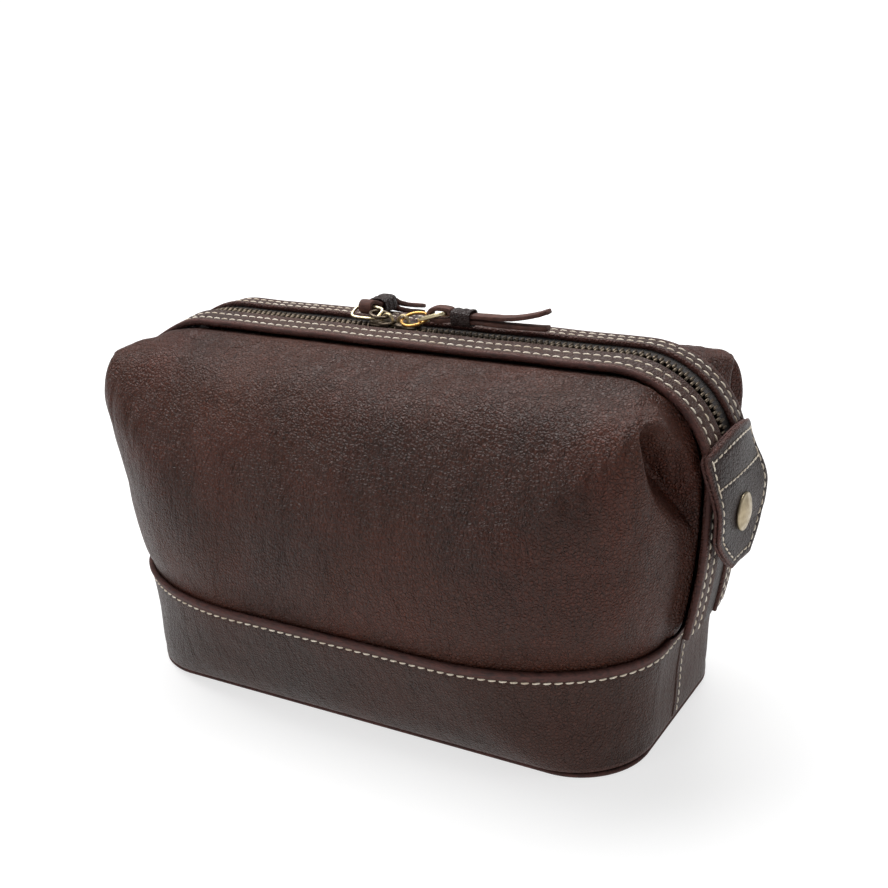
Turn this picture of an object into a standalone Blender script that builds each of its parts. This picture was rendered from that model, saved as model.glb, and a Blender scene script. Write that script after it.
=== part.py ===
"""Leather shaving kit bag, modelled at real size, +Z up, standing on z = 0.

X runs along the bag, -Y is the front, and the origin is the middle of the bottom.
Sizes in this script are millimetres; MM turns them into metres when a mesh is made.
"""
import math

import bmesh
import bpy
from mathutils import Matrix, Vector

MM = 0.001
GAP = 0.35            # clearance between touching pieces

# ---- driving dimensions ------------------------------------------------------------
HEIGHT = 150.0        # floor to the outer edge of the zip band
TOP_RUN = 97.0        # half length of the zip band's straight top run
CORNER_R = 37.0       # radius of the zip band where it turns down the ends
END_LEAN = 0.0018     # how fast the ends curve inwards below the corner
ZIP_HALF = 21.0       # half width of the zip band
CROWN = 3.0           # how far the middle of the zip band stands above its edges
BAND_H = 47.5         # upper edge of the base band
LEATHER = 1.6         # leather thickness
LAP = 2.5             # the zip band laps over the panels by its own thickness
TUCK = 3.0            # and covers this much of their edges
MOUTH_PIVOT = (30.0, 67.0)   # depth and height of the line each half of the mouth swings about
MOUTH_SWING_Z = 126.0 # the zip band moves above this height, and is sewn down below it
TOOTH_PITCH = 3.0     # one row of a size 5 metal zip
SLIDER_X = {"left": -12.6, "right": 0.2}
WIRE = 0.6            # radius of the wire of both rings
LINK_D = {"left": 7.6, "right": 10.8}           # the small ring through the slider's crown
LINK_TILT = {"left": 11.0, "right": 2.0}        # how its outer end is lifted
LINK_ROLL = {"left": 0.0, "right": 15.0}        # how its back edge is lifted
OVAL_SIZE = {"left": (13.0, 7.2), "right": (13.0, 8.2)}   # the ring that carries the lace
OVAL_AT = {"left": (-19.9, 0.0, 156.3), "right": (12.3, 0.6, 157.0)}
OVAL_TILT = {"left": 0.0, "right": 18.0}
OVAL_ROLL = {"left": 25.0, "right": -15.0}
LACE_W = {"left": 6.2, "right": 4.2}            # width of the pull's leather lace
LACE_ASIDE = 1.6      # the left lace sits this far from the middle of its ring
LACE_T = 1.9
TAB_TOP, TAB_FOLD, SNAP_Z, TAB_TIP = 123.0, 108.0, 95.0, 75.0

# Each lace from the tip of its upper tail, round the ring, to the tip of its lower tail:
# distance away from the ring's wire, and height above it.
LACE_ROUTE = {
    "left": [(41.0, -9.5), (32.0, -7.0), (22.0, -3.4), (16.0, -0.4), (7.0, -0.4), (3.4, 1.0),
             (0.4, 2.1), (-1.1, 1.8), (-2.0, 0.7), (-2.0, -0.7), (-1.1, -1.8), (0.4, -2.2),
             (7.0, -2.8), (16.0, -2.8), (21.0, -5.8), (31.0, -9.4), (40.0, -12.0)],
    "right": [(44.5, 4.8), (41.0, 3.5), (36.0, 2.1), (27.5, 0.6), (16.0, 0.2), (2.8, 0.2),
              (1.3, 1.7), (-1.2, 2.1), (-4.5, 2.0), (-7.0, 1.1), (-8.1, -0.6), (-7.1, -2.3),
              (-4.5, -2.9), (-1.0, -2.6), (2.8, -2.2), (16.0, -2.2), (27.0, -2.4), (44.0, -2.0)],
}
COLLAR = {"left": (7.0, 16.0, -1.6), "right": (2.8, 11.6, -1.0)}   # start, end, height

# Outlines of the leather body at rising heights: height, half depth, half length at the
# corner, the corner's radii along X and Y, and how deep the fold beside the ear is.
OUTLINES = [
    (0.0, 56.0, 114.5, 26.0, 26.0, 0.0),
    (12.0, 63.0, 116.0, 42.0, 42.0, 0.0),
    (30.0, 68.5, 117.3, 62.0, 58.0, 0.0),
    (47.5, 72.5, 120.2, 76.0, 71.5, 0.0),
    (60.0, 75.0, 123.4, 74.0, 66.0, 0.0),
    (75.0, 75.0, 126.3, 70.0, 58.0, 1.0),
    (90.0, 73.0, 127.5, 62.0, 48.0, 5.0),
    (105.0, 69.0, 128.0, 50.0, 36.0, 10.0),
    (120.0, 63.0, 127.5, 30.0, 24.0, 14.0),
    (132.0, 56.5, 126.8, 17.0, 15.0, 13.0),
    (140.0, 51.0, 125.6, 12.0, 12.0, 8.0),
]
U_CORNER, U_END = 0.5, 0.8   # where an outline's corner starts and ends
V_CAP = 0.82                 # above this the panel closes in to the zip band
CAP_Z, CAP_END_Z = 140.0, 124.0
CAP_U = 0.62                 # the zip band's corner starts here along the panel's top edge
CAP_ANGLE = math.radians(46)


# ---- scene helpers -----------------------------------------------------------------
def empty_scene():
    for ob in list(bpy.data.objects):
        bpy.data.objects.remove(ob, do_unlink=True)


def collection(name):
    made = bpy.data.collections.new(name)
    bpy.context.scene.collection.children.link(made)
    return made


empty_scene()
PARTS = collection("shaving_kit_bag")
CUTTERS = collection("cutters")


def material(name, rgb, roughness, metallic=0.0):
    made = bpy.data.materials.new(name)
    made.use_nodes = True
    shader = made.node_tree.nodes["Principled BSDF"]
    shader.inputs["Base Color"].default_value = (*rgb, 1.0)
    shader.inputs["Roughness"].default_value = roughness
    shader.inputs["Metallic"].default_value = metallic
    return made


BROWN = material("brown_leather", (0.045, 0.025, 0.019), 0.45)
DARK = material("dark_leather", (0.030, 0.018, 0.015), 0.5)
LINING = material("lining_fabric", (0.10, 0.07, 0.05), 0.95)
BOARD = material("stiff_board", (0.35, 0.28, 0.20), 0.9)
TAPE = material("zip_tape", (0.022, 0.016, 0.014), 0.95)
BRASS = material("antique_brass", (0.36, 0.30, 0.20), 0.35, 1.0)
DARK_BRASS = material("dark_brass", (0.16, 0.13, 0.10), 0.4, 1.0)


def place(name, mesh, mat, pivot=(0.0, 0.0, 0.0)):
    """An object whose origin is at pivot, for a mesh given in the bag's own frame."""
    mesh.transform(Matrix.Translation(-Vector(pivot)))
    ob = bpy.data.objects.new(name, mesh)
    ob.location = pivot
    ob.data.materials.clear()
    ob.data.materials.append(mat)
    PARTS.objects.link(ob)
    return ob


def metres(point):
    return tuple(c * MM for c in point)


def sheet(name, rows, mat, thickness, offset=-1.0, closed=False, pivot=(0, 0, 0)):
    """A lofted sheet through rows of points, made solid. offset -1 thickens it inwards."""
    columns = len(rows[0])
    points = [metres(p) for row in rows for p in row]
    faces = []
    for r in range(len(rows) - 1):
        for c in range(columns if closed else columns - 1):
            d = (c + 1) % columns
            faces.append((r * columns + c, r * columns + d,
                          (r + 1) * columns + d, (r + 1) * columns + c))
    mesh = bpy.data.meshes.new(name)
    mesh.from_pydata(points, [], faces)
    mesh.update()
    ob = place(name, mesh, mat, metres(pivot))
    solid = ob.modifiers.new("thickness", "SOLIDIFY")
    solid.thickness = thickness * MM
    solid.offset = offset
    solid.use_even_offset = True
    solid.use_quality_normals = True
    return ob


def flat_slab(name, outline, z_low, z_high, mat):
    """A flat slab with the given outline."""
    curve = bpy.data.curves.new(name, "CURVE")
    curve.dimensions = "2D"
    curve.fill_mode = "BOTH"
    curve.extrude = (z_high - z_low) / 2 * MM
    spline = curve.splines.new("POLY")
    spline.points.add(len(outline) - 1)
    for knot, (x, y) in zip(spline.points, outline):
        knot.co = (x * MM, y * MM, 0.0, 1.0)
    spline.use_cyclic_u = True
    ob = bpy.data.objects.new(name, curve)
    ob.location = (0.0, 0.0, (z_low + z_high) / 2 * MM)
    ob.data.materials.append(mat)
    PARTS.objects.link(ob)
    return ob


def wire(name, points, radius, mat, closed=True, pivot=(0, 0, 0)):
    """A round wire through the points, as a mesh with welded ends."""
    curve = bpy.data.curves.new(name, "CURVE")
    curve.dimensions = "3D"
    curve.bevel_depth = radius * MM
    curve.bevel_resolution = 2
    curve.use_fill_caps = True
    spline = curve.splines.new("POLY")
    spline.points.add(len(points) - 1)
    for knot, p in zip(spline.points, points):
        knot.co = (*metres(p), 1.0)
    spline.use_cyclic_u = closed
    drawn = bpy.data.objects.new(name + "_route", curve)
    PARTS.objects.link(drawn)
    graph = bpy.context.evaluated_depsgraph_get()
    mesh = bpy.data.meshes.new_from_object(drawn.evaluated_get(graph))
    bpy.data.objects.remove(drawn, do_unlink=True)
    work = bmesh.new()
    work.from_mesh(mesh)
    bmesh.ops.remove_doubles(work, verts=work.verts, dist=1e-6)
    bmesh.ops.recalc_face_normals(work, faces=work.faces)
    work.to_mesh(mesh)
    work.free()
    mesh.shade_smooth()
    return place(name, mesh, mat, metres(pivot))


def box(name, low, high, mat, pivot=(0, 0, 0), rounding=0.0):
    work = bmesh.new()
    bmesh.ops.create_cube(work, size=1.0)
    mesh = bpy.data.meshes.new(name)
    work.to_mesh(mesh)
    work.free()
    size = [(b - a) * MM for a, b in zip(low, high)]
    middle = [(a + b) / 2 * MM for a, b in zip(low, high)]
    mesh.transform(Matrix.Translation(middle) @ Matrix.Diagonal((*size, 1.0)))
    ob = place(name, mesh, mat, metres(pivot))
    if rounding:
        edge = ob.modifiers.new("rounding", "BEVEL")
        edge.width = rounding * MM
        edge.segments = 2
    return ob


def join_in(target, piece):
    """Unite piece with target, and keep piece only as the operand."""
    PARTS.objects.unlink(piece)
    CUTTERS.objects.link(piece)
    piece.hide_render = True
    piece.display_type = "WIRE"
    union = target.modifiers.new("join_" + piece.name, "BOOLEAN")
    union.operation = "UNION"
    union.solver = "EXACT"
    union.object = piece


def turned(name, profile, centre, direction, mat, steps=20):
    """A turned piece: profile of (radius, height) up its outer side, height along direction."""
    mesh = bpy.data.meshes.new(name)
    mesh.from_pydata([(r * MM, 0.0, h * MM) for r, h in profile], [],
                     [(i, i + 1) for i in range(len(profile) - 1)])
    ob = bpy.data.objects.new(name, mesh)
    ob.data.materials.append(mat)
    PARTS.objects.link(ob)
    turn = Vector((0, 0, 1)).rotation_difference(Vector(direction)).to_matrix().to_4x4()
    ob.matrix_world = Matrix.Translation(metres(centre)) @ turn
    screw = ob.modifiers.new("turned", "SCREW")
    screw.steps = screw.render_steps = steps
    screw.use_merge_vertices = True
    screw.merge_threshold = 0.00001
    screw.use_smooth_shade = True
    return ob


# ---- the leather body's surface ----------------------------------------------------
def smooth_step(low, high, t):
    t = min(max((t - low) / (high - low), 0.0), 1.0)
    return t * t * (3 - 2 * t)


def outline_sizes(z):
    """The row of OUTLINES at height z, smoothly between the rows given."""
    rows = OUTLINES
    z = min(max(z, rows[0][0]), rows[-1][0])
    i = max(k for k in range(len(rows) - 1) if rows[k][0] <= z)
    before, a, b = rows[max(i - 1, 0)], rows[i], rows[i + 1]
    after = rows[min(i + 2, len(rows) - 1)]
    h = b[0] - a[0]
    t = (z - a[0]) / h
    found = []
    for k in range(1, len(a)):
        slope_a = (b[k] - before[k]) / (b[0] - before[0])
        slope_b = (after[k] - a[k]) / (after[0] - a[0])
        found.append((2 * t**3 - 3 * t**2 + 1) * a[k] + (t**3 - 2 * t**2 + t) * h * slope_a
                     + (3 * t**2 - 2 * t**3) * b[k] + (t**3 - t**2) * h * slope_b)
    return found


def end_x(z):
    """Where the zip band's outer edge runs on the end, at height z."""
    turn_z = HEIGHT - CORNER_R
    if z > turn_z:
        return TOP_RUN + math.sqrt(max(CORNER_R**2 - (z - turn_z) ** 2, 0.0))
    return TOP_RUN + CORNER_R - END_LEAN * (turn_z - z) ** 2


def outline_point(u, z):
    """The body's outline at height z: u runs from the middle of the front to the end."""
    depth, corner_x, radius_x, radius_y, fold = outline_sizes(z)
    edge_y = -(ZIP_HALF - TUCK)
    radius_y = min(radius_y, depth - ZIP_HALF - TUCK)
    corner_y = radius_y - depth
    if u < U_CORNER:
        return (corner_x - radius_x) * u / U_CORNER, -depth
    if u < U_END:
        a = (u - U_CORNER) / (U_END - U_CORNER) * math.pi / 2
        return (corner_x - radius_x + radius_x * math.sin(a),
                corner_y - radius_y * math.cos(a))
    t = (u - U_END) / (1 - U_END)
    edge_x = end_x(z) - LAP if z > BAND_H else corner_x
    x = corner_x + (edge_x - corner_x) * smooth_step(0, 1, t) - fold * math.sin(math.pi * t) ** 2
    return x, corner_y + (edge_y - corner_y) * t


def body_point(u, v):
    """The leather body's outer surface: v runs from the floor up to the zip band."""
    rise = min(v / V_CAP, 1.0)
    z = rise * CAP_Z + (CAP_END_Z - CAP_Z) * smooth_step(0.78, 1.0, u) * smooth_step(0.6, 1.0, rise)
    x, y = outline_point(u, z)
    t = (v - V_CAP) / (1 - V_CAP)
    if t <= 0:
        return x, y, z
    a = max(u - CAP_U, 0.0) / (1 - CAP_U) * CAP_ANGLE
    radius = CORNER_R - LAP
    top_x = TOP_RUN * min(u / CAP_U, 1.0) + radius * math.sin(a)
    top_z = HEIGHT - CORNER_R + radius * math.cos(a)
    return (x + (top_x - x) * t, y - (y + ZIP_HALF - TUCK) * t, z + (top_z - z) * t * (2 - t))


def offset_point(u, v, distance):
    """A point at a distance outside (+) or inside (-) the body's surface."""
    step = 0.004
    here = Vector(body_point(u, v))
    along = Vector(body_point(min(u + step, 1), v)) - Vector(body_point(max(u - step, 0), v))
    up = Vector(body_point(u, min(v + step, 1))) - Vector(body_point(u, max(v - step, 0)))
    return tuple(here + along.cross(up).normalized() * distance)


def spread(low, high, count):
    return [low + (high - low) * i / (count - 1) for i in range(count)]


COLUMNS = (spread(0.0, U_CORNER, 3)[:-1] + spread(U_CORNER, U_END, 8)[:-1]
           + spread(U_END, 1.0, 4))


def half_rows(side, vs, inset, columns):
    """Rows across the whole front (side -1) or back (side +1) of the body."""
    rows = []
    for v in vs:
        row = []
        for u in [-u for u in columns[:0:-1]] + columns:
            x, y, z = offset_point(abs(u), v, -inset)
            row.append((math.copysign(x, u) if u else 0.0, -side * y, z))
        rows.append(row if side < 0 else row[::-1])
    return rows


def v_at(z):
    return z / CAP_Z * V_CAP


def loop(z, inset):
    """A closed outline round the whole bag at height z, counter-clockwise."""
    quarter = []
    for u in COLUMNS:
        x0, y0 = outline_point(max(u - 0.004, 0.0), z)
        x1, y1 = outline_point(min(u + 0.004, 1.0), z)
        x, y = outline_point(u, z)
        length = math.hypot(x1 - x0, y1 - y0)
        quarter.append((x - inset * (y1 - y0) / length, y + inset * (x1 - x0) / length, z))
    front_right = [(x, y, z) for x, y, _ in quarter]
    back_right = [(x, -y, z) for x, y, _ in reversed(quarter)]
    back_left = [(-x, -y, z) for x, y, _ in quarter[1:]]
    front_left = [(-x, y, z) for x, y, _ in reversed(quarter)]
    return front_right + back_right + back_left + front_left[:-1]


# ---- the zip band's surface --------------------------------------------------------
def band_stations(moving):
    """(x, z, outward x, outward z) along the right half of the zip band's edge."""
    turn_z = HEIGHT - CORNER_R
    sewn = math.acos((MOUTH_SWING_Z - turn_z) / CORNER_R)
    if moving:
        found = [(x, HEIGHT, 0.0, 1.0) for x in spread(0.0, TOP_RUN, 7)[:-1]]
        angles = spread(0.0, sewn, 9)
    else:
        found = []
        angles = spread(sewn + GAP / CORNER_R, math.pi / 2, 5)
    found += [(TOP_RUN + CORNER_R * math.sin(a), turn_z + CORNER_R * math.cos(a),
               math.sin(a), math.cos(a)) for a in angles]
    if not moving:
        found += [(end_x(z), z, 1.0, 0.0) for z in spread(turn_z, BAND_H + 0.8, 6)[1:]]
    return found


def band_height(y):
    """How far the band's outer surface stands off its edge line, at y across it."""
    return CROWN * (1 - (y / ZIP_HALF) ** 2)


def band_point(station, y, lift=0.0):
    x, z, out_x, out_z = station
    rise = band_height(y) + lift
    return x + out_x * rise, y, z + out_z * rise


def whole_run(stations):
    """The left half of the band and the right half as one run, left to right."""
    left = [(-x, z, -out_x, out_z) for x, z, out_x, out_z in reversed(stations)]
    return left[:-1] + stations


def band_strip(name, stations, ys, lift, thickness, mat, pivot):
    rows = [[band_point(s, y, lift) for s in stations] for y in ys]
    return sheet(name, rows, mat, thickness, pivot=pivot)


# ---- body --------------------------------------------------------------------------
WALL_ROWS = [3.5, 9.0, 19.0, 32.0, BAND_H, 63.0, 81.0, 100.0]


def make_base():
    flat_slab("bottom_panel", [(x, y) for x, y, _ in loop(1.0, -1.6)], 0.0, 2.0, BROWN)
    flat_slab("base_board", [(x, y) for x, y, _ in loop(6.0, 5.2)], 4.2, 6.6, BOARD)
    heights = [2.0 + GAP] + WALL_ROWS[1:WALL_ROWS.index(BAND_H) + 1]
    sheet("base_band", [loop(z, -2.1) for z in heights], BROWN, 2.1 - GAP, closed=True)


def make_panels():
    wall = [v_at(z) for z in WALL_ROWS]
    shoulder = spread(wall[-1] + 0.003, V_CAP, 5) + spread(V_CAP, 1.0, 5)[1:]
    middle = [u for u in COLUMNS if u < U_END - 0.05]
    for side, name in ((-1, "front"), (1, "back")):
        sheet(name + "_panel", half_rows(side, wall, 0.0, COLUMNS), BROWN, LEATHER)
        sheet(name + "_shoulder", half_rows(side, shoulder, 0.0, COLUMNS), BROWN, LEATHER)
        lining = shoulder[:-2]
        sheet(name + "_lining_top", half_rows(side, lining, 2.8, middle), LINING, 0.8)


def make_lining():
    heights = [7.4] + WALL_ROWS[1:-1]
    walls = [loop(z, 2.6) for z in heights]
    ob = sheet("lining", walls, LINING, 0.8, closed=True)
    work = bmesh.new()
    work.from_mesh(ob.data)
    work.verts.ensure_lookup_table()
    floor = [work.verts[i] for i in range(len(walls[0]))]
    work.faces.new(floor[::-1])
    work.to_mesh(ob.data)
    work.free()


def make_end_strips():
    for side, name in ((1, "right"), (-1, "left")):
        stations = [(side * x, z, side * nx, nz) for x, z, nx, nz in band_stations(False)]
        ys = spread(-ZIP_HALF, ZIP_HALF, 9)[::side]
        rows = [[band_point(s, y) for s in stations] for y in ys]
        sheet("end_strip_" + name, rows, BROWN, 1.7)


def make_zip():
    run = whole_run(band_stations(True))
    teeth_run = tooth_stations()
    for side, name in ((-1, "front"), (1, "back")):
        def across(*ys):
            return [side * y for y in ys][::-side]
        pivot = (0.0, side * MOUTH_PIVOT[0], MOUTH_PIVOT[1])
        band_strip(name + "_facing", run, across(21.0, 17.5, 14.0, 11.0, 8.0), 0.0, 1.7, BROWN,
                   pivot)
        band_strip(name + "_tape", run, across(16.0, 12.0, 8.0, 3.6), -2.05, 0.6, TAPE, pivot)
        tips = [-2.4 if i % 2 else -0.5 for i in range(len(teeth_run))]
        if side > 0:
            tips = [-0.5 if i % 2 else -2.4 for i in range(len(teeth_run))]
        root = [band_point(s, side * 3.2, -1.0) for s in teeth_run]
        tip = [band_point(s, -side * t, -1.0) for s, t in zip(teeth_run, tips)]
        rows = [root, tip] if side < 0 else [tip, root]
        sheet(name + "_teeth", rows, DARK_BRASS, 2.6, pivot=pivot)


def tooth_stations():
    """Stations half a tooth apart along the moving run."""
    turn_z = HEIGHT - CORNER_R
    step = TOOTH_PITCH / 2
    sewn = math.acos((MOUTH_SWING_Z - turn_z) / CORNER_R)
    straight = round(TOP_RUN / step)
    found = [(TOP_RUN * i / straight, HEIGHT, 0.0, 1.0) for i in range(straight)]
    turns = round(CORNER_R * sewn / step)
    for a in spread(0.0, sewn, turns + 1):
        found.append((TOP_RUN + CORNER_R * math.sin(a), turn_z + CORNER_R * math.cos(a),
                      math.sin(a), math.cos(a)))
    return whole_run(found)


# ---- sliders and pulls -------------------------------------------------------------
def make_slider(name, x):
    """Two plates above and below the teeth, joined by the thin post at the nose.

    Returns where the small ring passes under the crown.
    """
    low = HEIGHT + CROWN - 4.05
    high = HEIGHT + CROWN - 0.55
    nose = 1 if name == "left" else -1
    half, half_w, thick = 5.6, 4.2, 1.2
    middle = (x, 0.0, high)
    body = box("slider_" + name, (x - half, -half_w, high), (x + half, half_w, high + thick),
               BRASS, pivot=middle, rounding=0.4)
    under = box("slider_under_" + name, (x - half, 0.2 - half_w, low - thick),
                (x + half, half_w - 0.2, low), BRASS, rounding=0.3)
    post_x = x + nose * 4.2
    post = box("slider_post_" + name, (post_x - 1.2, -0.2, low - 0.4),
               (post_x + 1.2, 0.2, high + 0.4), BRASS)
    crown_x, crown_wire, rise = x + nose * 2.6, 0.65, 3.5
    foot = high + 0.7
    arch = [(crown_x + 2.6 * math.cos(a), 0.0, foot + rise * math.sin(a))
            for a in spread(0.0, math.pi, 11)]
    crown = wire("slider_crown_" + name, arch, crown_wire, BRASS, closed=False)
    for piece in (under, post, crown):
        join_in(body, piece)
    return Vector((crown_x, 0.0, foot + rise - crown_wire - WIRE - 0.1))


def ring_points(middle, along, across, length, width, squareness=2.0, count=20):
    """A closed ring round middle.

    squareness 2 is a plain ellipse, and a larger one is nearer a rounded rectangle.
    """
    points = []
    for i in range(count):
        a = 2 * math.pi * i / count
        c, s = (math.copysign(abs(t) ** (2 / squareness), t) for t in (math.cos(a), math.sin(a)))
        points.append(tuple(middle + along * (length / 2 * c) + across * (width / 2 * s)))
    return points


def ribbon(name, route, width, thickness, mat, closed=False, pivot=(0, 0, 0)):
    """A strip of leather along route, as wide as the vector width."""
    rows = [[tuple(p - width / 2) for p in route], [tuple(p + width / 2) for p in route]]
    return sheet(name, rows, mat, thickness, offset=0.0, closed=closed, pivot=pivot)


def ring_axes(side, tilt, roll):
    """A ring's long direction, away from the bag's middle, and the direction across it."""
    tilt, roll = math.radians(tilt), math.radians(roll)
    along = Vector((side * math.cos(tilt), 0.0, math.sin(tilt)))
    across = Vector((0.0, math.cos(roll), math.sin(roll)))
    return along, (across - along * across.dot(along)).normalized()


def collar_route(centre, wide, up, lace_w):
    """A rounded rectangle round both strands of the lace."""
    half_w, half_h, corner = lace_w / 2 + 0.8, LACE_T + 1.0, 1.2
    points = []
    for quarter in range(4):
        sx, sy = ((1, 1), (-1, 1), (-1, -1), (1, -1))[quarter]
        for a in spread(0.0, math.pi / 2, 4):
            turned_a = a + quarter * math.pi / 2
            x = sx * (half_w - corner) + corner * math.cos(turned_a)
            y = sy * (half_h - corner) + corner * math.sin(turned_a)
            points.append(centre + wide * x + up * y)
    return points


def make_pull(name, crown):
    """Link ring, oval ring, folded lace and collar of one slider."""
    side = -1 if name == "left" else 1
    x_axis, y_axis, z_axis = Vector((1, 0, 0)), Vector((0, 1, 0)), Vector((0, 0, 1))
    size = LINK_D[name]
    along, across = ring_axes(side, LINK_TILT[name], LINK_ROLL[name])
    wire("link_ring_" + name, ring_points(crown + along * (size / 2), along, across, size, size),
         WIRE, BRASS, pivot=tuple(crown))
    far_end = crown + along * size
    middle = Vector(OVAL_AT[name])
    long, wide = OVAL_SIZE[name]
    along, across = ring_axes(side, OVAL_TILT[name], OVAL_ROLL[name])
    wire("oval_ring_" + name, ring_points(middle, along, across, long, wide, 3.6, 28), WIRE,
         BRASS, pivot=tuple(far_end))
    if name == "right":
        hold, away, lace_wide, up = middle + along * (long / 2), x_axis, y_axis, z_axis
    else:
        hold = middle + across * (wide / 2) + along * LACE_ASIDE
        away, lace_wide, up = y_axis, -x_axis, z_axis
    route = [hold + away * a + up * h for a, h in LACE_ROUTE[name]]
    ribbon("leather_pull_" + name, route, lace_wide * LACE_W[name], LACE_T, DARK,
           pivot=tuple(hold))
    start, end, level = COLLAR[name]
    length = away * (end - start - 1.2)
    centre = hold + away * (start + end) / 2 + up * level
    ribbon("pull_collar_" + name, collar_route(centre, lace_wide, up, LACE_W[name]), length, 0.8,
           DARK, closed=True, pivot=tuple(hold))


# ---- end tabs ----------------------------------------------------------------------
def tab_half_width(z):
    """The shield's half width: square shoulders, sides that taper to a blunt point."""
    if z > TAB_FOLD:
        return 21.0 + 0.8 * (TAB_TOP - z) / (TAB_TOP - TAB_FOLD)
    t = (TAB_FOLD - z) / (TAB_FOLD - TAB_TIP)
    return 21.8 - 3.5 * t**1.5 - 10.0 * (max(t - 0.45, 0.0) / 0.55) ** 1.5


def tab_rise(z):
    """The flap stands off the end strip for the snap, and its tip hangs a little further off."""
    if z > TAB_FOLD:
        return 0.0
    return 3.0 * smooth_step(TAB_FOLD, SNAP_Z + 3.0, z) + 0.18 * max(SNAP_Z - 7.0 - z, 0.0)


def tab_rows(side, zs, lift):
    rows = []
    for z in zs:
        turn_z = HEIGHT - CORNER_R
        a = math.acos(min(max((z - turn_z) / CORNER_R, 0.0), 1.0))
        out = (math.sin(a), math.cos(a)) if z > turn_z else (1.0, 0.0)
        station = (side * end_x(z), z, side * out[0], out[1])
        half = tab_half_width(z)
        row = [band_point(station, y, lift + tab_rise(z)) for y in spread(-half, half, 7)]
        rows.append(row[::side])
    return rows


def make_tab(name, side):
    anchor = spread(TAB_FOLD + GAP, TAB_TOP, 4)
    flap = spread(TAB_TIP, TAB_FOLD - GAP, 8)
    hinge = tab_hinge(side)
    sheet("tab_anchor_" + name, tab_rows(side, anchor, 3.4), DARK, 3.0)
    sheet("tab_flap_" + name, tab_rows(side, flap, 3.4), DARK, 1.5, pivot=hinge)
    sheet("tab_backing_" + name, tab_rows(side, flap, 1.6), DARK, 1.2, pivot=hinge)
    outward = (side, 0.0, 0.0)
    face = end_x(SNAP_Z) + CROWN
    front = face + 3.4 + tab_rise(SNAP_Z) + GAP
    cap = [(0.0, 0.0), (7.25, 0.0), (6.8, 0.5), (5.4, 1.4), (3.0, 2.05), (0.0, 2.3)]
    swinging = [turned("snap_cap_" + name, cap, (side * front, 0, SNAP_Z), outward, BRASS)]
    back = face + 1.6 + tab_rise(SNAP_Z) - 1.2 - 2 * GAP
    socket = [(2.9, 0.0), (2.9, -1.5), (5.0, -1.5), (5.0, 0.0), (2.9, 0.0)]
    swinging.append(turned("snap_socket_" + name, socket, (side * back, 0, SNAP_Z), outward,
                           DARK_BRASS))
    hang_on_pivot("tab_fold_" + name, hinge, swinging)
    stud = [(0.0, 0.0), (4.6, 0.0), (4.6, 0.8), (1.9, 0.8), (2.1, 1.6), (1.6, 2.2), (0.0, 2.2)]
    turned("snap_stud_" + name, stud, (side * (face + GAP), 0, SNAP_Z), outward, DARK_BRASS)
    post = [(0.0, -0.9), (5.2, -0.9), (5.2, 0.0), (0.0, 0.0)]
    turned("snap_post_" + name, post, (side * (face - 1.7 - GAP - 0.3), 0, SNAP_Z), outward,
           DARK_BRASS)


def hang_on_pivot(name, at, pieces):
    """Parent the pieces to an empty on the line they swing about."""
    pivot = bpy.data.objects.new(name, None)
    pivot.location = metres(at)
    PARTS.objects.link(pivot)
    for piece in pieces:
        piece.parent = pivot
        piece.matrix_parent_inverse = Matrix.Translation(-pivot.location)


def tab_hinge(side):
    return (side * (end_x(TAB_FOLD) + CROWN + 3.4 + 0.1), 0.0, TAB_FOLD)


# ---- build -------------------------------------------------------------------------
make_base()
make_panels()
make_lining()
make_end_strips()
make_zip()
for slider_name, slider_x in SLIDER_X.items():
    make_pull(slider_name, make_slider(slider_name, slider_x))
for tab_name, tab_side in (("left", -1), ("right", 1)):
    make_tab(tab_name, tab_side)
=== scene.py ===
"""Looks of the leather shaving kit bag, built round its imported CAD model.

Shapes are worked out in millimetres and turned into metres when a mesh is made.
"""
import math

import bmesh
import bpy
import numpy as np
from mathutils import Matrix, Vector, noise


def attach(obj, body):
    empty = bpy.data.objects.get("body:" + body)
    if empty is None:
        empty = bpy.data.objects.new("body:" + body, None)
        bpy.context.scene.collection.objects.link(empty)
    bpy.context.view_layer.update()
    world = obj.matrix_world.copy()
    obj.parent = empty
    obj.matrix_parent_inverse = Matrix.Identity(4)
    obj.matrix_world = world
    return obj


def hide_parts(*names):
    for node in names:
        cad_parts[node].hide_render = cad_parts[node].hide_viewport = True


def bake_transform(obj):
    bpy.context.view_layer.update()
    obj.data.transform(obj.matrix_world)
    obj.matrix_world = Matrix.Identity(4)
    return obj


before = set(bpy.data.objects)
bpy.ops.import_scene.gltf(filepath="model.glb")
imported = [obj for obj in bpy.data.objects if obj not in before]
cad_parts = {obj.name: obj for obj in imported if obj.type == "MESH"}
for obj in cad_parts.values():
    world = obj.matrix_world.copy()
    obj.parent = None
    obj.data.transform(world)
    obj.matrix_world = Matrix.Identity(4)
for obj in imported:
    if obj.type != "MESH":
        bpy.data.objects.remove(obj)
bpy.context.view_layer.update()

noise.seed_set(5)
MM = 0.001
X_AXIS, Y_AXIS, Z_AXIS = Vector((1, 0, 0)), Vector((0, 1, 0)), Vector((0, 0, 1))
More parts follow.
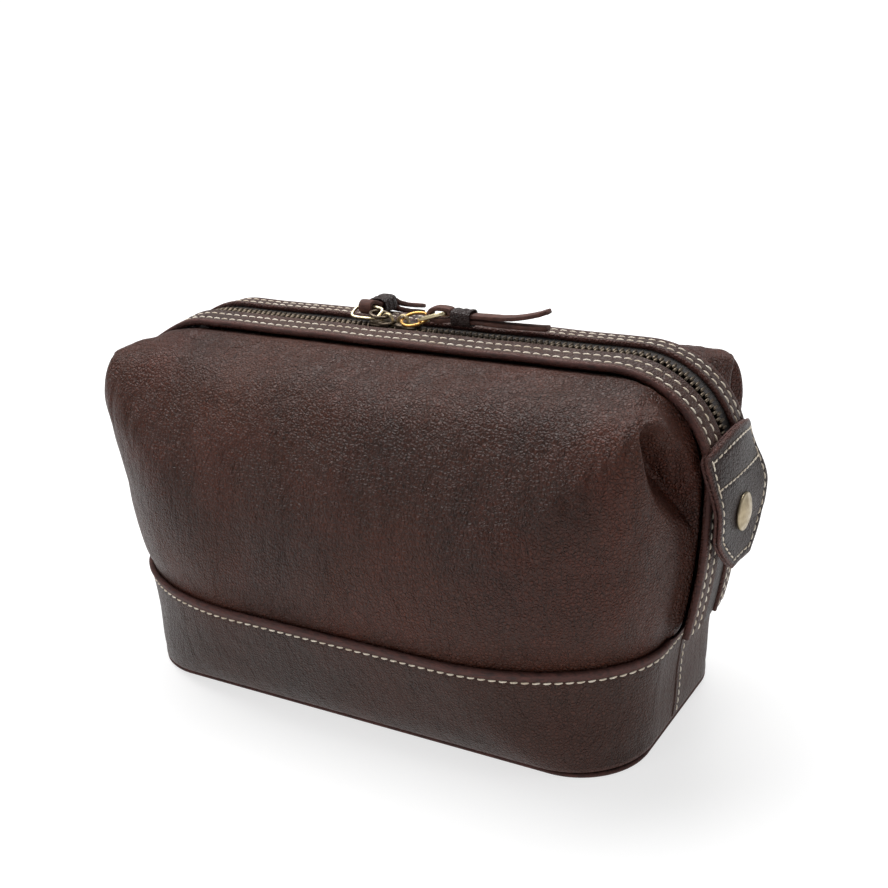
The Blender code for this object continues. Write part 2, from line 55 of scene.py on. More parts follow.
# ---- the bag's dimensions, as in its CAD model, but for the wider right lace ----
HEIGHT, TOP_RUN, CORNER_R, END_LEAN = 150.0, 97.0, 37.0, 0.0018
ZIP_HALF, CROWN, BAND_H, LAP, TUCK = 21.0, 3.0, 47.5, 2.5, 3.0
SLIDER_X = {"left": -12.6, "right": 0.2}
LINK_D = {"left": 7.6, "right": 10.8}
LINK_TILT, LINK_ROLL = {"left": 11.0, "right": 2.0}, {"left": 0.0, "right": 15.0}
OVAL_SIZE = {"left": (13.0, 7.2), "right": (13.0, 8.2)}
OVAL_AT = {"left": (-19.9, 0.0, 156.3), "right": (12.3, 0.6, 157.0)}
OVAL_TILT, OVAL_ROLL = {"left": 0.0, "right": 18.0}, {"left": 25.0, "right": -15.0}
LACE_W, LACE_T, LACE_ASIDE = {"left": 6.2, "right": 4.8}, 1.9, 1.6
LACE_ROUTE = {
    "left": [(41.0, -9.5), (32.0, -7.0), (22.0, -3.4), (16.0, -0.4), (7.0, -0.4), (3.4, 1.0),
             (0.4, 2.1), (-1.1, 1.8), (-2.0, 0.7), (-2.0, -0.7), (-1.1, -1.8), (0.4, -2.2),
             (7.0, -2.8), (16.0, -2.8), (21.0, -5.8), (31.0, -9.4), (40.0, -12.0)],
    "right": [(44.5, 4.8), (41.0, 3.5), (36.0, 2.1), (27.5, 0.6), (16.0, 0.2), (2.8, 0.2),
              (1.3, 1.7), (-1.2, 2.1), (-4.5, 2.0), (-7.0, 1.1), (-8.1, -0.6), (-7.1, -2.3),
              (-4.5, -2.9), (-1.0, -2.6), (2.8, -2.2), (16.0, -2.2), (27.0, -2.4), (44.0, -2.0)],
}
COLLAR = {"left": (7.0, 16.0, -1.6), "right": (2.8, 11.6, -1.0)}
TAB_TOP, TAB_FOLD, SNAP_Z, TAB_TIP = 123.0, 108.0, 95.0, 75.0
OUTLINES = [
    (0.0, 56.0, 114.5, 26.0, 26.0),
    (12.0, 63.0, 116.0, 42.0, 42.0),
    (30.0, 68.5, 117.3, 62.0, 58.0),
    (47.5, 72.5, 120.2, 76.0, 71.5),
    (60.0, 75.0, 123.4, 74.0, 66.0),
    (75.0, 75.0, 126.3, 70.0, 58.0),
    (90.0, 73.0, 127.5, 62.0, 48.0),
    (105.0, 69.0, 128.0, 50.0, 36.0),
    (120.0, 63.0, 127.5, 30.0, 24.0),
    (132.0, 56.5, 126.8, 17.0, 15.0),
    (140.0, 51.0, 125.6, 12.0, 12.0),
]
U_CORNER, U_END, V_CAP, CAP_Z, CAP_END_Z, CAP_U = 0.5, 0.8, 0.82, 140.0, 124.0, 0.62
CAP_ANGLE = math.radians(46)
SAG = 4.0  # how far the zip band has sunk at its left end
SAG_X, SAG_Z, SAG_Y = (91.0, 118.0), (92.0, 150.0), (24.0, 50.0)
# The fold beside each ear: x, distance from the middle in y, and z down the crease.
PINCH = [(118.5, 47.0, 143.0), (112.5, 37.0, 132.0), (113.5, 29.5, 120.0), (121.0, 23.5, 107.5),
         (129.5, 19.5, 94.0)]


# ---- materials ----
class Shader:
    """A material whose nodes are added in a few words."""

    def __init__(self, name, **values):
        self.material = bpy.data.materials.new(name)
        self.material.use_nodes = True
        self.tree = self.material.node_tree
        self.main = self.tree.nodes["Principled BSDF"]
        for key, value in values.items():
            self.main.inputs[key.replace("_", " ")].default_value = value
        self.place = self.add("ShaderNodeTexCoord").outputs["Object"]

    def add(self, kind, settings=None, **inputs):
        node = self.tree.nodes.new(kind)
        for key, value in (settings or {}).items():
            setattr(node, key, value)
        for key, value in inputs.items():
            self.feed(node, key.replace("_", " "), value)
        return node

    def feed(self, node, key, value):
        socket = node.inputs[key]
        if isinstance(value, bpy.types.NodeSocket):
            self.tree.links.new(value, socket)
        else:
            socket.default_value = value

    def noise(self, scale, detail=3.0, rough=0.55, vector=None, distortion=0.0):
        node = self.add("ShaderNodeTexNoise", Vector=vector or self.place, Scale=scale,
                        Detail=detail, Roughness=rough, Distortion=distortion)
        return node.outputs["Fac"]

    def span(self, value, low, high, out_low=0.0, out_high=1.0):
        node = self.add("ShaderNodeMapRange", None, Value=value, From_Min=low, From_Max=high,
                        To_Min=out_low, To_Max=out_high)
        return node.outputs["Result"]

    def blend(self, factor, a, b):
        node = self.add("ShaderNodeMix", {"data_type": "RGBA"})
        self.feed(node, 0, factor)
        self.feed(node, 6, a)
        self.feed(node, 7, b)
        return node.outputs[2]

    def maths(self, kind, a, b=0.0):
        node = self.add("ShaderNodeMath", {"operation": kind})
        self.feed(node, 0, a)
        self.feed(node, 1, b)
        return node.outputs[0]

    def stretched(self, x, y, z):
        node = self.add("ShaderNodeMapping", None, Vector=self.place, Scale=(x, y, z))
        return node.outputs["Vector"]

    def warped(self, amount):
        """Object coordinates pushed about a little, so that cells are not polygons."""
        push = self.add("ShaderNodeTexNoise", None, Vector=self.place, Scale=420.0, Detail=2.0)
        shift = self.add("ShaderNodeVectorMath", {"operation": "MULTIPLY_ADD"})
        self.tree.links.new(push.outputs["Color"], shift.inputs[0])
        shift.inputs[1].default_value = (amount, amount, amount)
        self.tree.links.new(self.place, shift.inputs[2])
        return shift.outputs[0]

    def bumps(self, *layers):
        """Bump layers, each (height, strength, distance in metres)."""
        normal = None
        for height, strength, distance in layers:
            node = self.add("ShaderNodeBump", None, Height=height, Strength=strength,
                            Distance=distance)
            if normal:
                self.feed(node, "Normal", normal)
            normal = node.outputs["Normal"]
        self.feed(self.main, "Normal", normal)


def rgb(r, g, b):
    """Linear colour from the usual 0-255 values."""
    def line(c):
        c /= 255
        return c / 12.92 if c <= 0.04045 else ((c + 0.055) / 1.055) ** 2.4
    return (line(r), line(g), line(b), 1.0)


def leather(name, base, dark, warm, roughness=0.46, grain=1.0, creased=True):
    """Smooth full-grain leather: small pebbles, finer pores, soft creases, a waxy sheen."""
    m = Shader(name, Specular_IOR_Level=0.25, Coat_Weight=0.05, Coat_Roughness=0.36)
    patch = m.span(m.noise(14.0, 3.0), 0.36, 0.68)
    warmth = m.span(m.noise(31.0, 4.0, 0.6), 0.48, 0.72)
    speck = m.span(m.noise(900.0, 2.0), 0.35, 0.75)
    colour = m.blend(patch, dark, base)
    colour = m.blend(m.maths("MULTIPLY", warmth, 0.5), colour, warm)
    wear = m.add("ShaderNodeAttribute", {"attribute_name": "wear"}).outputs["Fac"]
    cells = m.add("ShaderNodeTexVoronoi", {"feature": "DISTANCE_TO_EDGE"}, Scale=700.0,
                  Randomness=1.0, Vector=m.warped(0.0013)).outputs["Distance"]
    pebble = m.span(cells, 0.0, 0.32)
    pores = m.noise(1900.0, 2.0)
    colour = m.blend(m.maths("MULTIPLY", m.maths("SUBTRACT", 1.0, pebble), 0.6 * grain), colour,
                     tuple(c * 0.45 for c in dark[:3]) + (1.0,))
    colour = m.blend(m.maths("MULTIPLY", speck, 0.3), colour, warm)
    colour = m.blend(m.maths("MULTIPLY", wear, m.span(m.noise(260.0), 0.3, 0.6, 0.45, 1.0)),
                     colour, WORN)
    m.feed(m.main, "Base Color", colour)
    lines = m.span(m.noise(60.0, 5.0, 0.65, m.stretched(1.0, 1.0, 0.35), 1.4), 0.46, 0.52)
    folds = m.span(m.noise(24.0, 3.0, 0.5, m.stretched(1.6, 1.0, 0.5)), 0.3, 0.7)
    m.feed(m.main, "Roughness", m.maths("ADD", m.span(patch, 0, 1, roughness - 0.05, roughness + 0.06),
                                        m.maths("MULTIPLY", speck, 0.06)))
    wrinkles = m.span(m.noise(150.0, 4.0, 0.6, m.stretched(1.0, 0.6, 0.35), 1.0), 0.35, 0.65)
    broad, sharp, small = (0.35, 0.6, 0.7) if creased else (0.1, 0.06, 0.15)
    m.bumps((folds, broad, 0.0012), (lines, sharp, 0.0008), (wrinkles, small, 0.0009),
            (pebble, 0.9 * grain, 0.0005), (pores, 0.3 * grain, 0.0002))
    return m.material


def raw_edge(name, base, dark):
    """The cut or rolled edge of leather: redder, dry and fibrous."""
    m = Shader(name, Specular_IOR_Level=0.25)
    fibre = m.noise(700.0, 4.0, 0.7, m.stretched(0.35, 1.0, 1.0))
    m.feed(m.main, "Base Color", m.blend(m.span(fibre, 0.35, 0.65), dark, base))
    m.feed(m.main, "Roughness", m.span(fibre, 0.3, 0.7, 0.6, 0.85))
    m.bumps((fibre, 0.5, 0.0003))
    return m.material


def thread_material():
    m = Shader("waxed_thread", Roughness=0.62)
    tone = m.noise(140.0, 3.0)
    m.feed(m.main, "Base Color", m.blend(m.span(tone, 0.35, 0.65), rgb(206, 190, 168), rgb(240, 230, 214)))
    m.bumps((m.noise(3200.0, 2.0), 0.5, 0.0002))
    return m.material


def metal(name, base, dark, roughness=0.3, patina=0.55):
    """Antiqued metal: bright where it is rubbed, darker and duller in patches."""
    m = Shader(name, Metallic=1.0)
    cloud = m.span(m.noise(420.0, 5.0, 0.6), 0.38, 0.66)
    fine = m.noise(2400.0, 3.0)
    m.feed(m.main, "Base Color", m.blend(m.maths("MULTIPLY", cloud, patina), base, dark))
    m.feed(m.main, "Roughness", m.span(cloud, 0, 1, roughness, roughness + 0.22))
    m.bumps((fine, 0.18, 0.0001), (cloud, 0.12, 0.0001))
    return m.material


def woven(name, base, dark, pitch):
    """Plain woven cloth, pitch in millimetres."""
    m = Shader(name, Sheen_Weight=0.25, Roughness=0.9, Specular_IOR_Level=0.2)
    waves = []
    for direction in ("X", "Y", "Z"):
        wave = m.add("ShaderNodeTexWave", {"bands_direction": direction}, Vector=m.place,
                     Scale=314.0 / pitch, Distortion=0.6, Detail=1.0)
        waves.append(wave.outputs["Fac"])
    weave = m.maths("ADD", m.maths("MULTIPLY", waves[0], waves[1]), m.maths("MULTIPLY", waves[2], 0.5))
    tone = m.span(m.noise(60.0, 3.0), 0.3, 0.7)
    m.feed(m.main, "Base Color", m.blend(m.span(weave, 0.2, 1.0), dark, m.blend(tone, base, dark)))
    m.bumps((weave, 0.5, 0.0003))
    return m.material


WORN = rgb(88, 52, 44)
BROWN = leather("brown_leather", rgb(78, 42, 28), rgb(48, 26, 17), rgb(96, 45, 31), 0.42)
# Dark leather; on the facings' lower cut edge it is painted shade under the lip.
DARK_LEATHER_AND_SHADE = leather("dark_leather", rgb(56, 43, 40), rgb(38, 28, 27), rgb(64, 42, 38), 0.44, 0.9, False)
BAND_LEATHER = leather("band_leather", rgb(82, 60, 52), rgb(58, 42, 37), rgb(92, 60, 51), 0.52, 0.9, False)
BASE_LEATHER = leather("base_leather", rgb(66, 38, 27), rgb(46, 28, 20), rgb(80, 42, 32), 0.44, 0.9)
RAW = raw_edge("raw_leather_edge", rgb(88, 56, 51), rgb(52, 34, 31))
LACE = raw_edge("lace_leather", rgb(98, 66, 58), rgb(62, 40, 35))
THREAD = thread_material()
BRASS = metal("antique_brass", rgb(196, 178, 142), rgb(126, 108, 78), 0.3)
GOLD = metal("gold_brass", rgb(214, 168, 98), rgb(140, 98, 52), 0.26, 0.4)
PALE = metal("pale_brass", rgb(222, 208, 172), rgb(150, 134, 102), 0.24, 0.4)
DARK_BRASS = metal("dark_brass", rgb(112, 100, 86), rgb(50, 44, 38), 0.34)
CAP = metal("cap_brass", rgb(168, 154, 128), rgb(116, 102, 80), 0.3, 0.3)
TAPE = woven("zip_tape", rgb(52, 40, 36), rgb(28, 22, 20), 0.9)
LINING = woven("lining_fabric", rgb(134, 112, 92), rgb(96, 80, 66), 1.1)
BOARD = woven("board_cloth", rgb(160, 140, 118), rgb(120, 104, 88), 1.4)


# ---- mesh helpers ----
def ease(value, low, high):
    """0 at low, 1 at high, smoothly between them, for numbers or arrays."""
    t = np.clip((value - low) / (high - low), 0, 1)
    return t * t * (3 - 2 * t)


def settle(points):
    """The zip band sags a little towards its left end."""
    x, y, z = points.T
    sag = SAG * ease(-x, *SAG_X) * ease(z, *SAG_Z) * (1 - ease(np.abs(y), *SAG_Y))
    return np.stack([x, y, z - sag], 1)


def build(name, verts, faces, mats, tints=None, wear=None, smooth=True):
    """A mesh object from points in millimetres. tints gives each face's material index."""
    mesh = bpy.data.meshes.new(name)
    placed = settle(np.array([tuple(v) for v in verts], float)) * MM
    mesh.from_pydata(placed.tolist(), [], faces)
    for mat in mats:
        mesh.materials.append(mat)
    if tints is not None:
        mesh.polygons.foreach_set("material_index", tints)
    mesh.polygons.foreach_set("use_smooth", [smooth] * len(mesh.polygons))
    if wear is not None:
        mesh.attributes.new("wear", "FLOAT", "POINT").data.foreach_set("value", wear)
    mesh.update()
    ob = bpy.data.objects.new(name, mesh)
    bpy.context.scene.collection.objects.link(ob)
    return ob


def grid_faces(rows, columns, closed_columns=False, closed_rows=False, base=0):
    faces = []
    for r in range(rows if closed_rows else rows - 1):
        for c in range(columns if closed_columns else columns - 1):
            d, s = (c + 1) % columns, (r + 1) % rows
            faces.append((base + r * columns + c, base + r * columns + d,
                          base + s * columns + d, base + s * columns + c))
    return faces


def lidded(rows, columns, base=0):
    """Faces of a stack of rings with a lid on each end."""
    last = base + (rows - 1) * columns
    return grid_faces(rows, columns, True, base=base) + [
        tuple(range(base, base + columns))[::-1], tuple(range(last, last + columns))]


def two_sided(name, outer, inner, mats, rim=1, wear=None):
    """A closed sheet between two grids of points (rows x columns); rim edges take material rim."""
    outer, inner = np.asarray(outer, float), np.asarray(inner, float)
    rows, columns = outer.shape[:2]
    n = rows * columns
    verts = np.concatenate([outer.reshape(-1, 3), inner.reshape(-1, 3)])
    faces = grid_faces(rows, columns)
    back = [tuple(n + i for i in reversed(f)) for f in faces]
    ring = ([(0, c) for c in range(columns)] + [(r, columns - 1) for r in range(1, rows)]
            + [(rows - 1, c) for c in range(columns - 2, -1, -1)]
            + [(r, 0) for r in range(rows - 2, 0, -1)])
    ids = [r * columns + c for r, c in ring]
    edge = [(ids[i], n + ids[i], n + ids[(i + 1) % len(ids)], ids[(i + 1) % len(ids)])
            for i in range(len(ids))]
    tints = [0] * (2 * len(faces)) + [rim] * len(edge)
    worn = None if wear is None else list(np.asarray(wear).reshape(-1)) * 2
    return build(name, verts, faces + back + edge, mats, tints, worn)


def sweep(name, frames, profile, mats, tints=None, closed=False, wear=None):
    """A profile of (a, b) carried along frames of (origin, a axis, b axis), all in one material
    unless tints names one for each side of the profile."""
    verts, worn = [], []
    for origin, along_a, along_b in frames:
        for k, (a, b) in enumerate(profile):
            verts.append(tuple(origin + along_a * a + along_b * b))
            worn.append(wear[k] if wear else 0.0)
    n, m = len(frames), len(profile)
    faces = grid_faces(n, m, True, True) if closed else lidded(n, m)
    if tints:
        tints = (tints * n)[:len(faces) - 2] + [1, 1]
    return fix_normals(build(name, verts, faces, mats, tints, worn))


def fix_normals(ob):
    work = bmesh.new()
    work.from_mesh(ob.data)
    bmesh.ops.recalc_face_normals(work, faces=work.faces)
    work.to_mesh(ob.data)
    work.free()
    return ob


def running_length(points):
    """The distance from the start to each point of a polyline."""
    return np.concatenate([[0], np.cumsum(np.linalg.norm(np.diff(points, axis=0), axis=1))])


def between(at, marks, rows):
    """Rows of three numbers, known at the marks, worked out at other places."""
    return np.stack([np.interp(at, marks, rows[:, k]) for k in range(3)], -1)


def equal_steps(total, step):
    """The middles of equal steps of about this size."""
    count = max(int(round(total / step)), 1)
    return (np.arange(count) + 0.5) * total / count


def resample(points, step, closed=False):
    """Points at equal steps along a polyline, the tangent at each and its share of the length."""
    pts = np.asarray(points, float)
    if closed:
        pts = np.concatenate([pts, pts[:1]])
    length = running_length(pts)
    at = equal_steps(length[-1], step)
    reach = 0.4           # the tangent is taken over this much on both sides
    ahead = between(np.minimum(at + reach, length[-1]), length, pts)
    tangent = ahead - between(np.maximum(at - reach, 0), length, pts)
    tangent /= np.linalg.norm(tangent, axis=1)[:, None]
    return between(at, length, pts), tangent, at / length[-1]


def unit(v):
    return v / np.linalg.norm(v)


def stitch_row(name, points, normals, pitch=4.1, length=3.1, radius=0.42, slant=0.10, closed=False,
               lift=0.05, seed=3):
    """One row of sewn stitches: plump little thread lozenges, each a bit slanted."""
    spots, tangents, share = resample(points, pitch, closed)
    outs = between(share, np.linspace(0, 1, len(normals)), np.asarray(normals, float))
    sides, segs = 8, 7
    shape = []
    for i in range(segs):
        a = math.pi * i / (segs - 1)
        r = math.sin(a) ** 0.55 if 0 < i < segs - 1 else 0.12
        shape.append((-math.cos(a) * length / 2, r * radius))
    verts, faces = [], []
    for spot, t, out in zip(spots, tangents, outs):
        jig = noise.noise_vector(Vector(spot * 0.7 + seed))
        t2 = unit(t + unit(np.cross(out, t)) * (slant + 0.05 * jig.x))
        side = unit(np.cross(out, t2))
        up = np.cross(t2, side)
        base = len(verts)
        for along, r in shape:
            droop = -0.34 * (2 * along / length) ** 2 * radius * 2
            for k in range(sides):
                a = 2 * math.pi * k / sides
                verts.append(spot + t2 * along * (1 + 0.06 * jig.y) + side * (r * math.cos(a))
                             + up * (lift + 0.1 + droop + r * 0.85 * math.sin(a)))
        faces += lidded(segs, sides, base)
    return fix_normals(build(name, verts, faces, [THREAD]))


# ---- the leather body's surface, as in the CAD model ----
def outline_sizes(z):
    rows = OUTLINES
    z = min(max(z, rows[0][0]), rows[-1][0])
    i = max(k for k in range(len(rows) - 1) if rows[k][0] <= z)
    before, a, b = rows[max(i - 1, 0)], rows[i], rows[i + 1]
    after = rows[min(i + 2, len(rows) - 1)]
    h = b[0] - a[0]
    t = (z - a[0]) / h
    found = []
    for k in range(1, len(a)):
        slope_a = (b[k] - before[k]) / (b[0] - before[0])
        slope_b = (after[k] - a[k]) / (after[0] - a[0])
        found.append((2 * t**3 - 3 * t**2 + 1) * a[k] + (t**3 - 2 * t**2 + t) * h * slope_a
                     + (3 * t**2 - 2 * t**3) * b[k] + (t**3 - t**2) * h * slope_b)
    return found


def end_x(z):
    turn_z = HEIGHT - CORNER_R
    if z > turn_z:
        return TOP_RUN + math.sqrt(max(CORNER_R**2 - (z - turn_z) ** 2, 0.0))
    return TOP_RUN + CORNER_R - END_LEAN * (turn_z - z) ** 2


def outline_point(u, z):
    depth, corner_x, radius_x, radius_y = outline_sizes(z)
    edge_y = -(ZIP_HALF - TUCK)
    radius_y = min(radius_y, depth - ZIP_HALF - TUCK)
    corner_y = radius_y - depth
    if u < U_CORNER:
        return (corner_x - radius_x) * u / U_CORNER, -depth
    if u < U_END:
        a = (u - U_CORNER) / (U_END - U_CORNER) * math.pi / 2
        return corner_x - radius_x + radius_x * math.sin(a), corner_y - radius_y * math.cos(a)
    t = (u - U_END) / (1 - U_END)
    edge_x = end_x(z) - LAP if z > BAND_H else corner_x
    edge_x = corner_x + (edge_x - corner_x) * ease(z, BAND_H - 8, BAND_H + 8)
    return corner_x + (edge_x - corner_x) * ease(t, 0, 1), corner_y + (edge_y - corner_y) * t


def body_point(u, v):
    rise = min(v / V_CAP, 1.0)
    z = rise * CAP_Z + (CAP_END_Z - CAP_Z) * ease(u, 0.78, 1.0) * ease(rise, 0.6, 1.0)
    x, y = outline_point(u, z)
    t = (v - V_CAP) / (1 - V_CAP)
    if t <= 0:
        return x, y, z
    a = max(u - CAP_U, 0.0) / (1 - CAP_U) * CAP_ANGLE
    radius = CORNER_R - LAP
    top_x = TOP_RUN * min(u / CAP_U, 1.0) + radius * math.sin(a)
    top_z = HEIGHT - CORNER_R + radius * math.cos(a)
    return x + (top_x - x) * t, y - (y + ZIP_HALF - TUCK) * t, z + (top_z - z) * t * (2 - t)


def spread(low, high, count):
    return [low + (high - low) * i / (count - 1) for i in range(count)]


def v_at(z):
    return z / CAP_Z * V_CAP


def grid_normals(grid):
    du = np.gradient(grid, axis=1)
    dv = np.gradient(grid, axis=0)
    n = np.cross(du, dv)
    return n / np.maximum(np.linalg.norm(n, axis=2), 1e-9)[:, :, None]


def body_grid(side, us, vs):
    """Rows of points over the whole front (side -1) or back (side +1), facing outwards."""
    full = [-u for u in us[:0:-1]] + us
    rows = []
    for v in vs:
        half = {u: body_point(u, v) for u in us}
        row = []
        for u in full:
            x, y, z = half[abs(u)]
            row.append((math.copysign(x, u) if u else 0.0, -side * y, z))
        rows.append(row if side < 0 else row[::-1])
    return np.array(rows)


def loop(z, out, count=64):
    """A closed outline round the bag at height z, pushed out: (x, y, normal x, normal y)."""
    quarter = []
    us = spread(0.0, U_CORNER, 12)[:-1] + spread(U_CORNER, U_END, count - 17)[:-1] + spread(U_END, 1.0, 6)
    for u in us:
        x0, y0 = outline_point(max(u - 0.004, 0.0), z)
        x1, y1 = outline_point(min(u + 0.004, 1.0), z)
        x, y = outline_point(u, z)
        length = math.hypot(x1 - x0, y1 - y0)
        nx, ny = (y1 - y0) / length, -(x1 - x0) / length
        quarter.append((x + out * nx, y + out * ny, nx, ny))
    points = quarter + [(x, -y, nx, -ny) for x, y, nx, ny in reversed(quarter)]
    points += [(-x, -y, -nx, -ny) for x, y, nx, ny in quarter[1:]]
    return points + [(-x, y, -nx, ny) for x, y, nx, ny in reversed(quarter)][:-1]


def stacked(rings, level=None):
    """Points of the body's outlines (height, push outwards), all shaped as at level if given."""
    return [(x, y, z) for z, out in rings for x, y, _, _ in loop(level or z, out)]


# ---- leather panels ----
PANEL_US = spread(0.0, 0.5, 34)[:-1] + spread(0.5, 0.8, 46)[:-1] + spread(0.8, 1.0, 38)
PANEL_VS = (spread(v_at(3.0), v_at(44.0), 8)[:-1] + spread(v_at(44.0), V_CAP, 74)[:-1]
            + spread(V_CAP, 1.0, 26))
PANEL_COLUMNS = np.abs(np.array([-u for u in PANEL_US[:0:-1]] + PANEL_US))
SOFT_ROUNDS = 110  # passes that round the shoulder
LEATHER_T = 1.5  # the leather's thickness
LINING_OUT, LINING_IN = 3.3, 3.9  # the lining's two faces, below the leather's outside
WELT = 1.3  # how far the leather swells before it turns under the zip band
FOLD_SLOPE, FOLD_CURVE = 0.42, 0.012  # the long side of each ear's fold
FOLD_ROLL = 4.2  # its full side
FOLD_SOFT = 2.4  # millimetres over which the fold's edge is rounded


def ripple(p, side):
    """Soft dents and creases of the leather, in millimetres outwards."""
    q = Vector((p[0], p[1] * side, p[2]))
    shift = Vector((7.1 * side, 3.3, 1.7))
    big = noise.noise(q * 0.018 + shift) * 1.9
    mid = noise.noise(Vector((q.x * 0.05, q.y * 0.04, q.z * 0.02)) + shift) * 0.7
    upper = ease(q.z, 78.0, 125.0)
    bent = q.x + 5.0 * noise.noise(Vector((q.z * 0.03, 5.0, side)))
    creases = noise.noise(Vector((bent * 0.16, q.y * 0.05, q.z * 0.035)) - shift)
    creases = (abs(creases) - 0.18) * 1.5 * upper
    fine = noise.noise(Vector((q.x * 0.42, q.y * 0.2, q.z * 0.13)) + shift) * 0.16 * (0.35 + upper)
    return big + mid + creases + fine


def soften(grid):
    """Round off the shoulder, where the panel turns in towards the zip band, but not the ears."""
    near = np.exp(-((np.array(PANEL_VS) - V_CAP) / 0.075) ** 2)[:, None]
    near = (near * (1 - 0.9 * ease(PANEL_COLUMNS, 0.38, 0.52))[None, :])[:, :, None]
    for _ in range(SOFT_ROUNDS):
        mean = grid.copy()
        mean[1:-1] = (grid[:-2] + 2 * grid[1:-1] + grid[2:]) / 4
        grid = grid + (mean - grid) * near
    return grid


def pinch(grid):
    """Press the crease of each ear's fold in: a long slope on one side, a full roll on the other."""
    x, y, z = np.abs(grid[..., 0]), np.abs(grid[..., 1]), grid[..., 2]
    best, groove = np.full(x.shape, 1e9), np.full(x.shape, 1e9)
    for (x0, y0, z0), (x1, y1, z1) in zip(PINCH, PINCH[1:]):
        dy, dz = y1 - y0, z1 - z0
        length = math.hypot(dy, dz)
        t = np.clip(((y - y0) * dy + (z - z0) * dz) / length**2, 0, 1)
        away = np.hypot(y - y0 - t * dy, z - z0 - t * dz)
        side = ((z - z0) * dy - (y - y0) * dz) / length
        depth = x0 + t * (x1 - x0)
        slope = depth + FOLD_SLOPE * away + FOLD_CURVE * away**2
        roll = depth + FOLD_ROLL * away**0.75
        found = np.where(side > 0, slope, roll)
        groove = np.where(away < best, found, groove)
        best = np.minimum(best, away)
    gap = np.clip(0.5 + 0.5 * (groove - x) / FOLD_SOFT, 0, 1)
    pressed = groove * (1 - gap) + x * gap - FOLD_SOFT * gap * (1 - gap)
    near = ease(x, 96.0, 108.0) * ease(z, 84.0, 92.0) * (1 - ease(PANEL_COLUMNS, 0.95, 1.0))
    near = near * (1 - ease(z, 136.0, 143.0))
    out = grid.copy()
    out[..., 0] = np.sign(grid[..., 0]) * (x + (np.minimum(pressed, x) - x) * near)
    return out


def smooth_grid(grid, held, rounds):
    """Even out the grid, by as much as held (0 to 1) says at each point."""
    for _ in range(rounds):
        mean = grid.copy()
        mean[1:-1, 1:-1] = (grid[:-2, 1:-1] + grid[2:, 1:-1] + grid[1:-1, :-2] + grid[1:-1, 2:]) / 4
        grid = grid + (mean - grid) * held[..., None]
    return grid


def leather_half(half, side):
    grid = pinch(soften(body_grid(side, PANEL_US, PANEL_VS)))
    columns, rows = PANEL_COLUMNS, np.array(PANEL_VS)
    roll = np.exp(-((rows - 0.955) / 0.03) ** 2)[:, None] * (1 - ease(columns, 0.93, 0.99))[None, :]
    grid = grid + grid_normals(grid) * (WELT * roll)[:, :, None]
    rim = np.clip((1.0 - rows) / 0.09, 0, 1)[:, None] * np.clip((1.0 - columns) / 0.05, 0, 1)[None, :]
    ear = ease(columns, 0.70, 0.80)[None, :] * ease(rows, v_at(88.0), v_at(96.0))[:, None]
    grid = smooth_grid(grid, ear * rim * 0.7, 5)
    move = np.array([[ripple(p, side) for p in row] for row in grid])
    held = rim * np.clip((rows - v_at(BAND_H)) / 0.06, 0, 1)[:, None]
    grid = grid + grid_normals(grid) * (move * held)[:, :, None]
    inner = grid - grid_normals(grid) * LEATHER_T
    ob = two_sided(half + "_leather", grid, inner, [BROWN, RAW])
    mouth(ob)
    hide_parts(half + "_panel", half + "_shoulder")


def lining_half(name, side):
    grid = pinch(soften(body_grid(side, PANEL_US, PANEL_VS)))
    first = next(i for i, v in enumerate(PANEL_VS) if v >= v_at(8.0))
    grid = grid[first:-1:2][:, ::2]
    n = grid_normals(grid)
    outer, inner = grid - n * LINING_OUT, grid - n * LINING_IN
    ob = two_sided(name + "_lining", outer, inner, [LINING, LINING])
    mouth(ob)
    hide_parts(name + "_lining_top")


# ---- the zip band ----
def band_frames(low_z, steps=60, turn=26, fall=26):
    """Frames (origin, across = +Y, outward) along the band's edge line, left end to right end.

    steps, turn and fall are the numbers of stations on each half's top, corner and end.
    """
    turn_z = HEIGHT - CORNER_R
    half = [(x, HEIGHT, 0.0, 1.0) for x in spread(0.0, TOP_RUN, steps)[:-1]]
    half += [(TOP_RUN + CORNER_R * math.sin(a), turn_z + CORNER_R * math.cos(a), math.sin(a), math.cos(a))
             for a in spread(0.0, math.pi / 2, turn)]
    if low_z < turn_z:
        for z in spread(turn_z, low_z, fall)[1:]:
            slope = 2 * END_LEAN * (turn_z - z)
            length = math.hypot(1.0, slope)
            half.append((end_x(z), z, 1.0 / length, -slope / length))
    left = [(-x, z, -nx, nz) for x, z, nx, nz in reversed(half)]
    return [(Vector((x, 0, z)), Y_AXIS, Vector((nx, 0, nz)))
            for x, z, nx, nz in left[:-1] + half]


def band_rise(y):
    return CROWN * (1 - (y / ZIP_HALF) ** 2)


STITCH_OUT, STITCH_IN = 16.4, 11.0
FACING_IN, FACING_EDGE = 6.9, 20.4  # the facings' edges, from the middle of the band
FACING_STEPS = 40


def facing_rise(y):
    """The facings lie a little flatter than the band below them."""
    return CROWN * (1 - 0.45 * (y / ZIP_HALF) ** 2)


